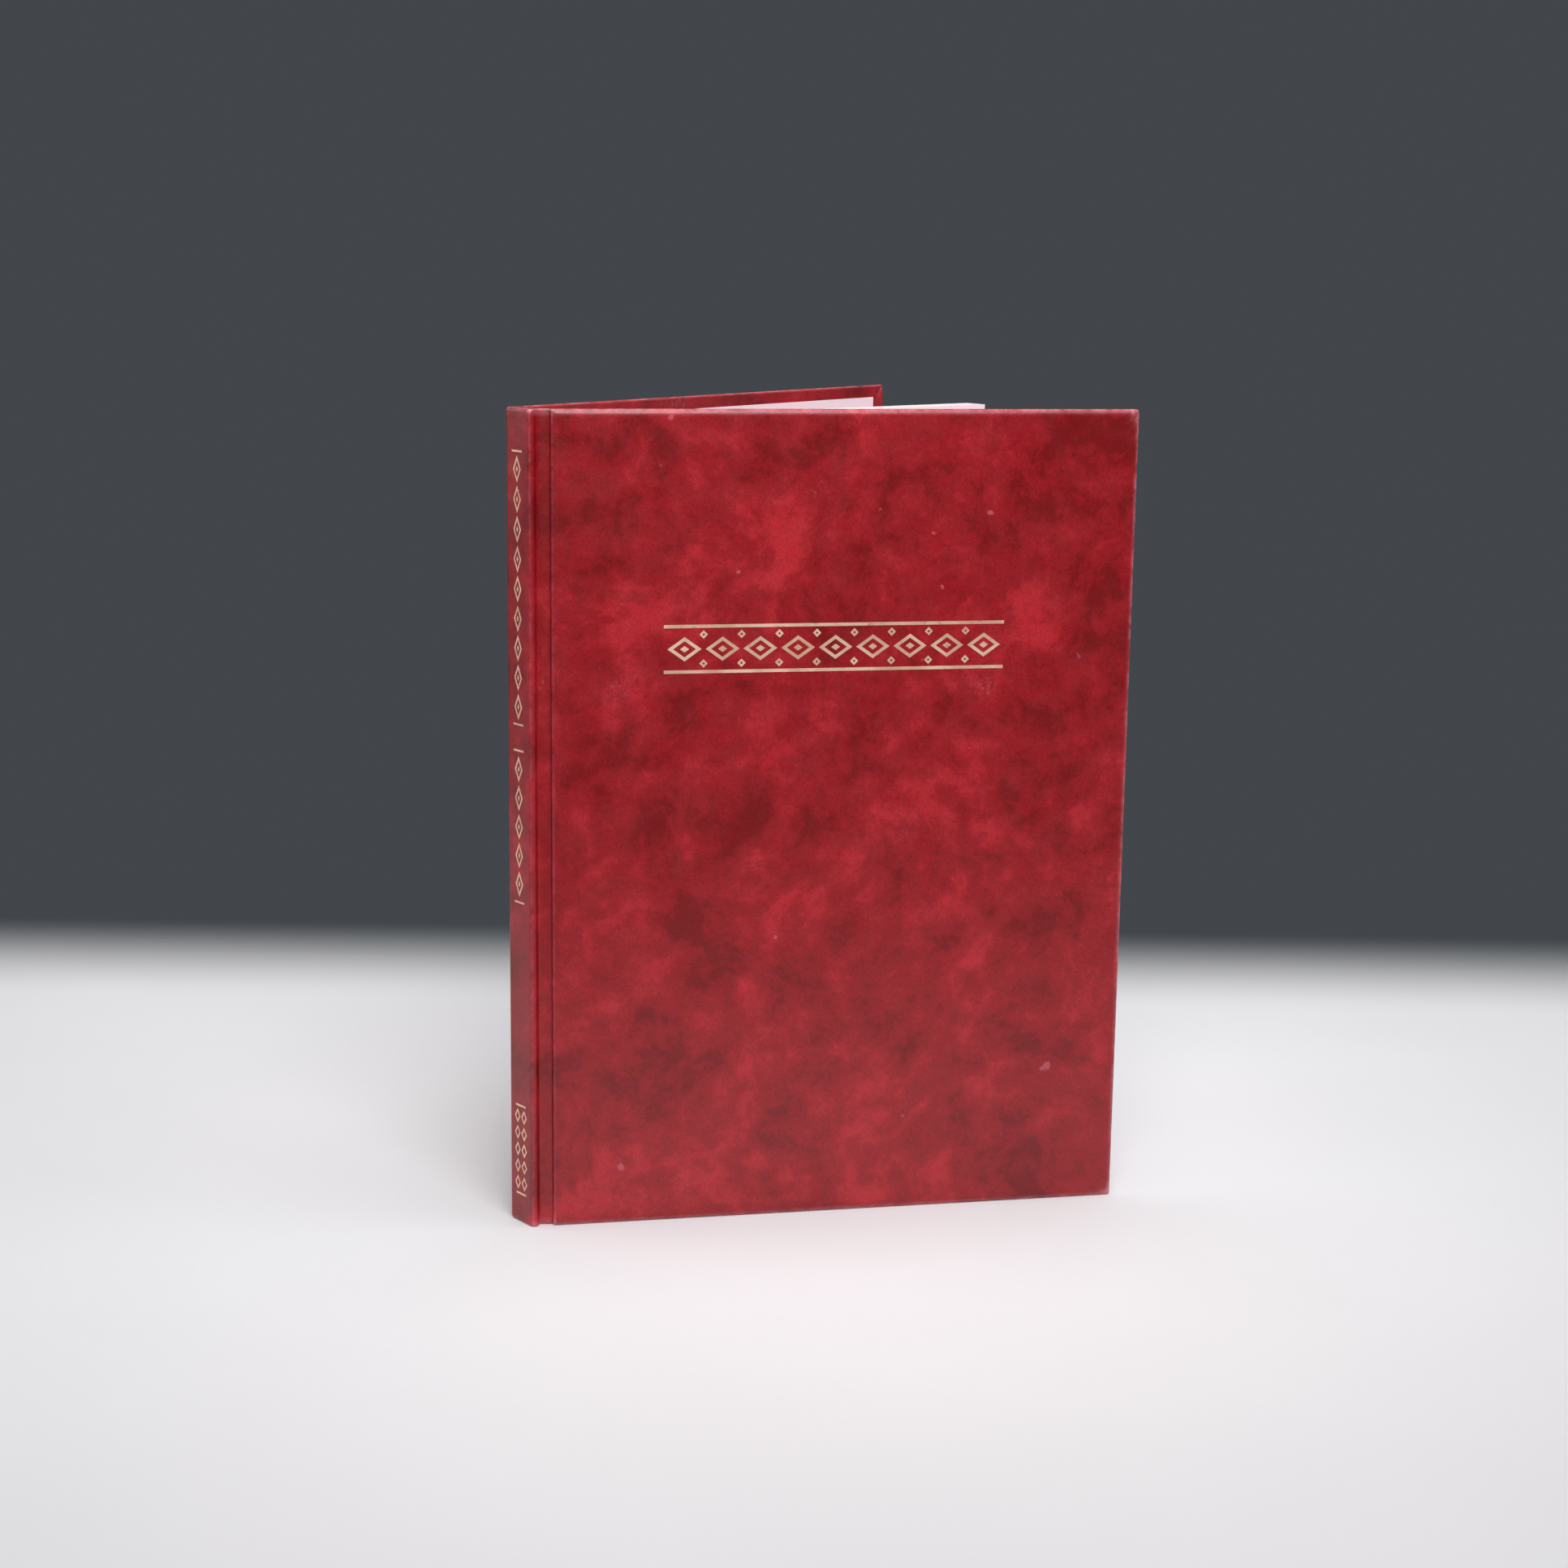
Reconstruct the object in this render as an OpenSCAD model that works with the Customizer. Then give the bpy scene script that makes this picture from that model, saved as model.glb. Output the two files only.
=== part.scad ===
// Case-bound hardback book, standing on its tail with both covers splayed.
// +X runs from the spine along the pages, -Y is the front cover's side and +Z is up.
// The origin is at the foot of the spine panel, in the middle of its width and thickness.
// All sizes are in millimetres.

/* [Pages] */
// Height of the trimmed pages
page_h = 244; // [200:1:300]
// Width of the pages, from the folds to the fore-edge
page_w = 182; // [130:1:220]
// Thickness of the block of pages
block_t = 8.2; // [6:0.1:14]
// Number of sewn sections
section_count = 8; // [4:1:14]
// Thickness of an endpaper
paper_t = 0.15; // [0.1:0.01:0.2]

/* [Case] */
// Thickness of the greyboard in the covers
board_t = 2; // [1.5:0.1:3]
// Thickness of the covering cloth
cloth_t = 0.35; // [0.25:0.01:0.5]
// How far the covers stand past the pages at head and tail
square = 4; // [2:0.1:5]
// How far the covers stand past the pages at the fore-edge
fore_square = 3; // [2:0.1:5]
// Width of the cloth turned in over the boards
turn_in = 15; // [12:0.5:20]
// How far the pastedown stops short of the cover's fore-edge
paste_margin = 6; // [2:0.1:8]
// Radius on the outer edges of the covers
edge_r = 1.2; // [0.55:0.05:1.3]
// Radius on the inner edges of the covers
inner_r = 0.25; // [0.1:0.05:0.3]
// Radius on the corners of the covers
corner_r = 0.8; // [0.3:0.05:0.8]
// Width of the seam where two turn-ins meet
seam_w = 0.2; // [0.1:0.05:0.4]
// Depth of that seam
seam_d = 0.2; // [0.1:0.05:0.24]

/* [Spine] */
// Thickness of the card strip in the spine
strip_t = 1; // [0.6:0.1:1.5]
// How far the strip stands past the block on each side
strip_ease = 1.8; // [1.5:0.1:3]
// Hollow between the spine panel and the lining
hollow = 0.3; // [0.2:0.05:1]
// Thickness of the kraft lining
lining_t = 0.2; // [0.1:0.05:0.4]
// How far the lining stops short of the pages at head and tail
lining_inset = 2; // [1:0.5:10]
// Thickness of the open-weave mull
mull_t = 0.15; // [0.1:0.01:0.2]
// How far the mull stops short of the turn-ins at head and tail
mull_inset = 2; // [1:0.5:12]
// Width of the mull flap glued to each board
mull_flap_w = 25; // [15:1:40]
// Gap between the mull and each band glued behind the pages
band_gap = 6; // [1:0.5:6]
// Radius of the bead along the band's edge
bead_r = 0.75; // [0.5:0.05:1]

/* [Joints] */
// How far each joint is glued along the side of the block
shoulder = 1; // [0.8:0.1:2]
// Clearance round the swing of a cover
swing_gap = 0.3; // [0.25:0.05:0.6]
// Clearance between a closed cover and the flyleaf
closed_gap = 0.3; // [0.25:0.05:0.6]
// Clearance between layers in the joint
layer_gap = 0.03; // [0.02:0.01:0.05]
// How far the front cover stands open, in degrees
front_open = 28; // [0:0.5:90]
// How far the back cover stands open, in degrees
back_open = 13; // [0:0.5:90]

/* [Hidden] */

// Points on each round edge, and steps along each curve in the joint
arc_steps = 5;
curve_steps = 8;
// Cuts reach this far past the faces they open
past = 1;

cloth_colour = [0.6, 0.1, 0.12];
greyboard_colour = [0.6, 0.56, 0.5];
paper_colour = [0.93, 0.9, 0.86];
endpaper_colour = [0.9, 0.83, 0.8];
mull_colour = [0.86, 0.84, 0.76];
kraft_colour = [0.68, 0.55, 0.4];
band_colour = [0.75, 0.2, 0.18];

// Heights: the case stands on its tail, and the pages hang a square above it
case_h = page_h + 2 * square;
page_z0 = square;
page_z1 = square + page_h;
mull_z0 = turn_in + mull_inset;
mull_z1 = case_h - turn_in - mull_inset;
band_h = mull_z0 - band_gap - page_z0;

// Layers behind the pages, from the spine's outer face inwards
spine_x0 = -(strip_t + 2 * cloth_t) / 2;
strip_x0 = spine_x0 + cloth_t;
strip_x1 = strip_x0 + strip_t;
spine_x1 = strip_x1 + cloth_t;
lining_x0 = spine_x1 + hollow;
mull_x0 = lining_x0 + lining_t;
block_x0 = mull_x0 + mull_t;
block_x1 = block_x0 + page_w;
half_block = block_t / 2;
strip_half = half_block + strip_ease;
spine_half = strip_half + cloth_t;

// The spine's long edges are as round as its strip allows, and its ends as the cloth over the strip does
ridge_r = min(edge_r, strip_x1 - spine_x0 - 2 * layer_gap);
roll_r = min(edge_r, 2 * cloth_t);

// Levels outwards from the block's side, through a closed cover
paste_v = paper_t + closed_gap;
turn_v = paste_v + paper_t;
board_v = turn_v + cloth_t;
outer_v = board_v + board_t;
face_v = outer_v + cloth_t;

// A cover turns about a line level with the groove, where the joint leaves the side of the block. Laid
// right back, its joint cloth then lies over the spine's edge, which stands proud of the block's side
spine_proud = spine_half - half_block;
pivot_x = block_x0 + shoulder;
pivot_v = (spine_proud + board_v + cloth_t) / 2 + layer_gap;
pivot = [pivot_x, half_block + pivot_v];

// The covered board starts clear of everything that stays round its pivot
reach = norm([pivot_x - spine_x0, spine_proud - pivot_v]);
board_u0 = reach + swing_gap;
board_u1 = block_x1 + fore_square - pivot_x;

// Levels at which each layer passes over the shoulder and reaches the board: the middles of endpaper,
// mull and cloth, and the inner face of the cloth's turn-in at head and tail
fold_levels = [1.5 * paper_t, turn_v - paper_t / 2 - layer_gap];
mull_levels = [2 * paper_t + layer_gap + mull_t / 2, board_v - mull_t / 2 - layer_gap];
hem_levels = [2 * paper_t + mull_t + 2 * layer_gap, board_v - cloth_t];
cloth_levels = hem_levels + [1.5, 1.5] * cloth_t;
joint_u1 = sqrt(reach * reach - pow(pivot_v - paste_v, 2));

// Eased curve from 0 to 1, a value part of the way between two, and a point turned about the origin
function eased(t) = t * t * (3 - 2 * t);
function between(a, b, t) = a + (b - a) * t;
function turned(p, angle) = [p.x * cos(angle) - p.y * sin(angle), p.x * sin(angle) + p.y * cos(angle)];
function unit(p) = p / norm(p);
function mirrored(path) = [for (p = path) [p.x, -p.y]];

// Points of an arc about a centre
function arc(centre, r, from, to) = [
    for (i = [0 : arc_steps])
        let (a = between(from, to, i / arc_steps)) centre + r * [cos(a), sin(a)]
];

// Outline of a rectangle with its own radius at each corner, from the low corner round
function rounded(low, high, r) = concat(
    arc([low.x + r[0], low.y + r[0]], r[0], 180, 270),
    arc([high.x - r[1], low.y + r[1]], r[1], 270, 360),
    arc([high.x - r[2], high.y - r[2]], r[2], 0, 90),
    arc([low.x + r[3], high.y - r[3]], r[3], 90, 180)
);

// Outline of a rectangle with both its far corners round
function crowned(low, high, r) = concat(
    [low, [high.x, low.y]],
    arc(high - [r, r], r, 0, 90),
    arc([low.x + r, high.y - r], r, 90, 180)
);

// A line at a distance beside a path, and the outline of a sheet whose middle follows the path
function across(path, i) = let (
    last = len(path) - 1,
    before = unit(path[max(i, 1)] - path[max(i, 1) - 1]),
    after = unit(path[min(i, last - 1) + 1] - path[min(i, last - 1)]),
    mean = unit(before + after)
) [-mean.y, mean.x] / (mean * before);
function beside(path, d) = [for (i = [0 : len(path) - 1]) path[i] + across(path, i) * d];
function reversed(path) = [for (i = [len(path) - 1 : -1 : 0]) path[i]];
function sheet(path, t) = concat(beside(path, t / 2), reversed(beside(path, -t / 2)));

// A point of a cubic curve with its four control points
function curve(a, b, c, d, t) = let (s = 1 - t)
    s * s * s * a + 3 * s * s * t * b + 3 * s * t * t * c + t * t * t * d;

// A layer's line from the side of the block out to the board, for a cover on the +Y side
function hinge_line(levels, open) = let (
    start = [pivot_x, half_block + levels[0]],
    end = pivot + turned([joint_u1, levels[1] - pivot_v], open),
    pull = joint_u1 / 3
) [
    for (i = [0 : curve_steps])
        curve(start, start + [pull, 0], end - turned([pull, 0], open), end, i / curve_steps)
];

// A line from the spine strip's inner edge down into the groove and out to the board
function groove_line(edge_y, levels, open) = let (foot = hinge_line(levels, open)[0]) concat(
    [for (i = [0 : curve_steps - 1])
        let (t = i / curve_steps) [between(strip_x1, foot.x, t), between(edge_y, foot.y, eased(t))]],
    hinge_line(levels, open)
);

// The cloth from the spine's outer face round the strip's edge and through the groove
function cloth_line(open) = concat(
    arc([spine_x0 + ridge_r, spine_half - ridge_r], ridge_r - cloth_t / 2, 180, 90),
    groove_line(spine_half - cloth_t / 2, cloth_levels, open)
);

// The mull from behind the block round its shoulder and out to the board
function mull_line(open) = concat(
    [[mull_x0 + mull_t / 2, half_block + mull_levels[0]]],
    hinge_line(mull_levels, open)
);

// Places a form drawn for the +Y side on its own side of the block
module on_side(front) {
    mirror([0, front ? 1 : 0, 0])
        children();
}

// Places a form drawn for a closed cover, from its pivot along X and from the block's side along Y,
// at the angle it stands open
module on_cover(front, open) {
    on_side(front)
        translate(pivot)
            rotate([0, 0, open])
                translate([0, -pivot_v, 0])
                    children();
}

// A plain block between two corners
module slab(low, high) {
    translate(low)
        cube(high - low);
}

// The pages: one solid, with the round folds of the sewn sections along its back
module text_block() {
    section_t = block_t / section_count;
    r = section_t / 2;
    folds = [
        for (i = [section_count - 1 : -1 : 0])
            for (j = [0 : arc_steps])
                if (i == section_count - 1 || j > 0)
                    let (a = 90 - 180 * j / arc_steps)
                        [block_x0 + r - r * cos(a), -half_block + (i + 0.5) * section_t + r * sin(a)]
    ];
    color(paper_colour)
        translate([0, 0, page_z0])
            linear_extrude(page_h)
                polygon(concat(folds, [[block_x1, -half_block], [block_x1, half_block]]));
}

// Flyleaf, glued fold and the stretch of endpaper that crosses the joint
module endpaper_form(open) {
    line = concat([[block_x0, half_block + fold_levels[0]]], hinge_line(fold_levels, open));
    inner = beside(line, -paper_t / 2);
    flyleaf = [
        [block_x0, half_block],
        [block_x1, half_block],
        [block_x1, half_block + paper_t]
    ];
    translate([0, 0, page_z0])
        linear_extrude(page_h)
            polygon(concat(
                flyleaf,
                [for (i = [1 : len(inner) - 1]) inner[i]],
                reversed(beside(line, paper_t / 2))
            ));
}

module front_endpaper() {
    color(endpaper_colour)
        on_side(true)
            endpaper_form(front_open);
}

module back_endpaper() {
    color(endpaper_colour)
        on_side(false)
            endpaper_form(back_open);
}

// Open-weave cloth glued over the folds, with its wings crossing both joints
module spine_mull() {
    line = concat(reversed(mirrored(mull_line(front_open))), mull_line(back_open));
    color(mull_colour)
        translate([0, 0, mull_z0])
            linear_extrude(mull_z1 - mull_z0)
                polygon(sheet(line, mull_t));
}

// Kraft paper over the mull
module spine_lining() {
    color(kraft_colour)
        slab(
            [lining_x0, -half_block, page_z0 + lining_inset],
            [mull_x0, half_block, page_z1 - lining_inset]
        );
}

// Band behind the pages with a round bead over their edge, drawn for the head
module end_band() {
    bead = [mull_x0 + bead_r, bead_r];
    color(band_colour)
        translate([0, half_block, 0])
            rotate([90, 0, 0])
                linear_extrude(block_t)
                    polygon(concat(
                        [[mull_x0, -band_h], [block_x0, -band_h], [block_x0, 0], [bead.x, 0]],
                        arc(bead, bead_r, -60, 180)
                    ));
}

module head_band() {
    translate([0, 0, page_z1])
        end_band();
}

module tail_band() {
    translate([0, 0, page_z0])
        mirror([0, 0, 1])
            end_band();
}

// Card strip that stiffens the spine
module spine_strip() {
    outer_r = ridge_r - cloth_t + layer_gap;
    color(greyboard_colour)
        translate([0, 0, cloth_t])
            linear_extrude(case_h - 2 * cloth_t)
                polygon(rounded(
                    [strip_x0, -strip_half],
                    [strip_x1, strip_half],
                    [outer_r, layer_gap, layer_gap, outer_r]
                ));
}

// Where the cloth is turned in along the groove, it lies double, drawn for the +Y side
module groove_hem(open) {
    outer = groove_line(spine_half - cloth_t / 2, cloth_levels, open);
    inner = groove_line(strip_half - cloth_t, hem_levels, open);
    linear_extrude(turn_in)
        polygon(concat(outer, reversed(inner)));
}

// Cloth over the spine strip and down into both grooves, turned in behind the strip at head and tail
module spine_cloth() {
    far_x = pivot_x + reach;
    line = concat(reversed(mirrored(cloth_line(front_open))), cloth_line(back_open));
    color(cloth_colour)
        intersection() {
            union() {
                linear_extrude(case_h)
                    polygon(sheet(line, cloth_t));
                for (z = [0, case_h - turn_in]) {
                    slab([strip_x1, -strip_half, z], [spine_x1, strip_half, z + turn_in]);
                    translate([0, 0, z]) {
                        on_side(true)
                            groove_hem(front_open);
                        on_side(false)
                            groove_hem(back_open);
                    }
                }
                for (z = [[0, cloth_t], [case_h - cloth_t, case_h]])
                    slab([strip_x0, -strip_half, z[0]], [spine_x1, strip_half, z[1]]);
            }
            translate([0, spine_half + reach, 0])
                rotate([90, 0, 0])
                    linear_extrude(2 * (spine_half + reach))
                        polygon(rounded(
                            [spine_x0, 0],
                            [far_x, case_h],
                            [roll_r, inner_r, inner_r, roll_r]
                        ));
        }
}

// Greyboard of one cover, its outer edges rubbed round
module board_form() {
    low = [board_u0 + cloth_t, cloth_t];
    high = [board_u1 - cloth_t, case_h - cloth_t];
    board_r = edge_r - cloth_t;
    intersection() {
        translate([0, 0, low.y])
            linear_extrude(high.y - low.y)
                polygon(crowned([low.x, board_v], [high.x, outer_v], board_r));
        translate([low.x, 0, high.y])
            rotate([0, 90, 0])
                linear_extrude(high.x - low.x)
                    polygon(crowned([0, board_v], [high.y - low.y, outer_v], board_r));
    }
}

// Cloth round one board: the outer sheet, its wrapped edges and the turn-ins with their mitred corners
module cloth_form() {
    mitre_l = norm([turn_in, turn_in]);
    difference() {
        intersection() {
            linear_extrude(case_h)
                polygon(rounded([board_u0, turn_v], [board_u1, face_v], [inner_r, inner_r, edge_r, edge_r]));
            translate([board_u0, 0, 0])
                rotate([90, 0, 90])
                    linear_extrude(board_u1 - board_u0)
                        polygon(rounded([turn_v, 0], [face_v, case_h], [inner_r, edge_r, edge_r, inner_r]));
            translate([0, face_v, 0])
                rotate([90, 0, 0])
                    linear_extrude(face_v - turn_v)
                        polygon(rounded(
                            [board_u0, 0],
                            [board_u1, case_h],
                            [corner_r, corner_r, corner_r, corner_r]
                        ));
        }
        board_form();
        slab(
            [board_u0 - past, turn_v - past, turn_in],
            [board_u1 - turn_in, board_v, case_h - turn_in]
        );
        for (corner = [[0, 1], [case_h, -1]])
            translate([board_u1, turn_v, corner[0]])
                rotate([0, corner[1] * 45, 0])
                    slab([-mitre_l, -past, -seam_w / 2], [0, seam_d, seam_w / 2]);
    }
}

// The mull flap glued to one board
module mull_flap_form() {
    slab(
        [board_u0, board_v - mull_t, mull_z0],
        [board_u0 + mull_flap_w, board_v, mull_z1]
    );
}

// The pastedown: it lies on the turn-ins, dips to the bare board inside them and steps over the mull flap
module pastedown_form() {
    low = [board_u0 - past, turn_in];
    high = [board_u1 - turn_in, case_h - turn_in];
    flap_u1 = board_u0 + mull_flap_w + paper_t;
    difference() {
        slab(
            [board_u0, paste_v, page_z0],
            [board_u1 - paste_margin, board_v, page_z1]
        );
        difference() {
            slab([board_u0 - past, turn_v, 0], [board_u1, board_v + past, case_h]);
            slab([low.x - past, turn_v - past, low.y], [high.x, board_v + 2 * past, high.y]);
        }
        mull_flap_form();
        slab(
            [low.x, paste_v - past, low.y + paper_t],
            [high.x - paper_t, board_v - mull_t - paper_t, high.y - paper_t]
        );
        difference() {
            slab(
                [low.x, paste_v - past, low.y + paper_t],
                [high.x - paper_t, board_v - paper_t, high.y - paper_t]
            );
            slab(
                [low.x - past, paste_v - 2 * past, mull_z0 - paper_t],
                [flap_u1, board_v, mull_z1 + paper_t]
            );
        }
    }
}

module front_board() {
    color(greyboard_colour)
        on_cover(true, front_open)
            board_form();
}

module front_cloth() {
    color(cloth_colour)
        on_cover(true, front_open)
            cloth_form();
}

module front_mull_flap() {
    color(mull_colour)
        on_cover(true, front_open)
            mull_flap_form();
}

module front_pastedown() {
    color(endpaper_colour)
        on_cover(true, front_open)
            pastedown_form();
}

module back_board() {
    color(greyboard_colour)
        on_cover(false, back_open)
            board_form();
}

module back_cloth() {
    color(cloth_colour)
        on_cover(false, back_open)
            cloth_form();
}

module back_mull_flap() {
    color(mull_colour)
        on_cover(false, back_open)
            mull_flap_form();
}

module back_pastedown() {
    color(endpaper_colour)
        on_cover(false, back_open)
            pastedown_form();
}

text_block();
front_endpaper();
back_endpaper();
spine_mull();
spine_lining();
head_band();
tail_band();
spine_strip();
spine_cloth();
front_board();
front_cloth();
front_mull_flap();
front_pastedown();
back_board();
back_cloth();
back_mull_flap();
back_pastedown();
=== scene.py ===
"""Dresses the hardback book: mottled leatherette over boards, sewn leaves, endpapers, bands and gold foil.

Lengths are in millimetres until a mesh is made, and repeat the sizes of the part's source.
"""

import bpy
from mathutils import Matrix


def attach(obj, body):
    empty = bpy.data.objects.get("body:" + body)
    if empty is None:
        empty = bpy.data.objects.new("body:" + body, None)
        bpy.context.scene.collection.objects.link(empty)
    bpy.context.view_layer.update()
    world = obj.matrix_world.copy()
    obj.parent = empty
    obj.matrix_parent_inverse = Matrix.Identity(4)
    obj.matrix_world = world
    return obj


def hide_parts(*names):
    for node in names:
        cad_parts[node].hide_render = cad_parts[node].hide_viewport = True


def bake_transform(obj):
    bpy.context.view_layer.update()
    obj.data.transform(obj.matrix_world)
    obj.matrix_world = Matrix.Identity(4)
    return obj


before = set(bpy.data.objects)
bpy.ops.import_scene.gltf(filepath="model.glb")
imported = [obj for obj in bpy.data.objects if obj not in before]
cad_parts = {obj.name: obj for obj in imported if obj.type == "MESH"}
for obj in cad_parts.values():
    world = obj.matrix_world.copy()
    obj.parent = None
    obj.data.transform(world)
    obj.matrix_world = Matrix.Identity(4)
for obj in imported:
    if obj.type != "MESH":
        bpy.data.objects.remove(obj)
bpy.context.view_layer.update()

import math

import bmesh
import bpy
from mathutils import Matrix, Vector

MM = 0.001

# The pages and the case
CASE_H = 252.0
PAGE_Z0, PAGE_Z1 = 4.0, 248.0
BLOCK_X0, BLOCK_X1 = 1.5, 183.5
HALF_BLOCK = 4.1
SECTIONS, SHEETS = 8, 4
CLOTH_T, PAPER_T, MULL_T, SHEET_T = 0.35, 0.15, 0.15, 0.116
TURN_IN, PASTE_MARGIN, FLAP_W = 15.0, 6.0, 25.0
EDGE_R, ROLL_R, INNER_R, CORNER_R = 1.2, 0.7, 0.25, 0.8
# The cloth's rounding starts this far in on the face, and its inner edge is soft too
EDGE_REACH, ROLL_REACH, SOFT_R = 2.2, 1.1, 0.6
MITRE_RISE = 0.16
MULL_Z0, MULL_Z1 = 17.0, 235.0
MULL_X0 = 1.35
BAND_H, BEAD_R = 7.0, 0.75

# The spine panel, and the levels through a closed cover outwards from the block's side
SPINE_X0, STRIP_X0, STRIP_X1, SPINE_X1 = -0.85, -0.5, 0.5, 0.85
STRIP_HALF, SPINE_HALF = 5.9, 6.25
PASTE_V, TURN_V, BOARD_V, OUTER_V, FACE_V = 0.45, 0.6, 0.95, 2.95, 3.3

# The line on which a cover turns, and how far the covered board reaches from it
PIVOT_X, PIVOT_V = 2.5, 1.755
REACH = math.hypot(PIVOT_X - SPINE_X0, SPINE_HALF - HALF_BLOCK - PIVOT_V)
BOARD_U0, BOARD_U1 = REACH + 0.3, 184.0
JOINT_U1 = math.sqrt(REACH**2 - (PIVOT_V - PASTE_V) ** 2)
COVERS = {"front": (-1, 28.0), "back": (1, 13.0)}

# Middle levels of the joint's layers at the shoulder and at the board, and the inner face of the hem
FOLD_LEVELS = (0.225, 0.495)
MULL_LEVELS = (0.405, 0.845)
HEM_LEVELS = (0.51, 0.6)
CLOTH_LEVELS = (1.035, 1.125)

# The joint's curved pieces meet the stiff ones on flat ground: on the spine panel, on the board and on the
# pastedown
PANEL_SEAM_Y = 4.6
CLOTH_SEAM_U = BOARD_U0 + 3.0
PAPER_SEAM_U = BOARD_U0 + 4.5

# The foil ornaments: how thick, how far off the cloth, and where on the front cover
FOIL_T, FOIL_LIFT = 0.03, 0.012
ORNAMENT_U, ORNAMENT_Z = 90.2, 180.4

# Facets in a quarter turn, in a small quarter turn and along the curve of a joint
ARC_STEPS, SMALL_STEPS, CURVE_STEPS = 8, 4, 12

CAMERA_TURN, CAMERA_PITCH, CAMERA_ROLL = 39.18, 11.441, 0.770
CAMERA_PLACE = (-0.44845, -0.6758, 0.3037)
CAMERA_LENS = 62.65


# Camera: the photograph's place, turn and lens, for a square frame
def set_camera():
    turn, pitch, roll = (math.radians(a) for a in (CAMERA_TURN, CAMERA_PITCH, CAMERA_ROLL))
    level_way = math.cos(pitch)
    forward = Vector((math.sin(turn) * level_way, math.cos(turn) * level_way, -math.sin(pitch)))
    level = Vector((math.cos(turn), -math.sin(turn), 0))
    above = level.cross(forward)
    right = math.cos(roll) * level + math.sin(roll) * above
    up = math.cos(roll) * above - math.sin(roll) * level
    camera = show("camera", bpy.data.cameras.new("camera"))
    camera.data.sensor_width = 36.0
    camera.data.lens = CAMERA_LENS
    camera.data.clip_start, camera.data.clip_end = 0.01, 20.0
    place = Matrix((right, up, -forward)).transposed().to_4x4()
    place.translation = CAMERA_PLACE
    camera.matrix_world = place
    bpy.context.scene.camera = camera


# Small geometry in the plane
def between(a, b, t):
    return a + (b - a) * t


def spaced(start, end, count):
    """Even places from one end to the other."""
    return [between(start, end, i / count) for i in range(count + 1)]


def quarter(count):
    """Even angles of a quarter turn."""
    return [math.radians(90 * i / count) for i in range(count + 1)]


def eased(t):
    return t * t * (3 - 2 * t)


def step(low, high, x):
    return eased(min(1.0, max(0.0, (x - low) / (high - low))))


def bell(distance, width):
    return math.exp(-((distance / width) ** 2))


def beside_block(cover, u, v):
    """Place in plan of a point u out from the pivot and v out from the block, for a cover on the +Y side."""
    a = math.radians(COVERS[cover][1])
    w = v - PIVOT_V
    return (
        PIVOT_X + u * math.cos(a) - w * math.sin(a),
        HALF_BLOCK + PIVOT_V + u * math.sin(a) + w * math.cos(a),
    )


def on_cover(cover, u, v):
    """The same place on the cover's own side."""
    x, y = beside_block(cover, u, v)
    return x, COVERS[cover][0] * y


def from_cover(cover, x, y):
    """The u and v of a place in plan."""
    side, angle = COVERS[cover]
    a = math.radians(angle)
    dx, dy = x - PIVOT_X, side * y - HALF_BLOCK - PIVOT_V
    return dx * math.cos(a) + dy * math.sin(a), PIVOT_V - dx * math.sin(a) + dy * math.cos(a)


def hinge_line(cover, levels):
    """A layer's curve from the side of the block out to the board, for a cover on the +Y side."""
    a = math.radians(COVERS[cover][1])
    way = Vector((math.cos(a), math.sin(a)))
    start = Vector((PIVOT_X, HALF_BLOCK + levels[0]))
    end = Vector(beside_block(cover, JOINT_U1, levels[1]))
    pull = JOINT_U1 / 3
    b, c = start + Vector((pull, 0)), end - pull * way
    line = []
    for t in spaced(0, 1, CURVE_STEPS):
        s = 1 - t
        line.append(s**3 * start + 3 * s * s * t * b + 3 * s * t * t * c + t**3 * end)
    return line


def beside(line, distance):
    """The line at a distance to the left of a path."""
    moved = []
    last = len(line) - 1
    for i, point in enumerate(line):
        before = (line[max(i, 1)] - line[max(i, 1) - 1]).normalized()
        after = (line[min(i + 1, last)] - line[min(i + 1, last) - 1]).normalized()
        mean = (before + after).normalized()
        moved.append(point + Vector((-mean.y, mean.x)) * distance / mean.dot(before))
    return moved


# Making a mesh
def show(name, mesh):
    """A new object in the scene."""
    piece = bpy.data.objects.new(name, mesh)
    bpy.context.scene.collection.objects.link(piece)
    return piece


def shade(mesh, sharp=40):
    mesh.shade_smooth()
    mesh.set_sharp_from_angle(angle=math.radians(sharp))


def make_piece(name, points, faces, finish, sharp=40):
    """A closed piece from points in millimetres, its faces turned outwards."""
    mesh = bpy.data.meshes.new(name)
    mesh.from_pydata([[c * MM for c in p] for p in points], [], faces)
    shell = bmesh.new()
    shell.from_mesh(mesh)
    bmesh.ops.remove_doubles(shell, verts=shell.verts, dist=1e-7)
    bmesh.ops.dissolve_degenerate(shell, edges=shell.edges, dist=1e-8)
    bmesh.ops.recalc_face_normals(shell, faces=shell.faces)
    shell.to_mesh(mesh)
    shell.free()
    shade(mesh, sharp)
    mesh.materials.append(finish)
    return show(name, mesh)


def loft(rings):
    """Points and faces of a closed tube through rings of equal length."""
    count = len(rings[0])
    last = (len(rings) - 1) * count
    points = [p for ring in rings for p in ring]
    faces = []
    for i in range(0, last, count):
        for j in range(count):
            k = (j + 1) % count
            faces.append((i + j, i + k, i + count + k, i + count + j))
    faces += [tuple(range(count)), tuple(range(last, last + count))]
    return points, faces


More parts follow.
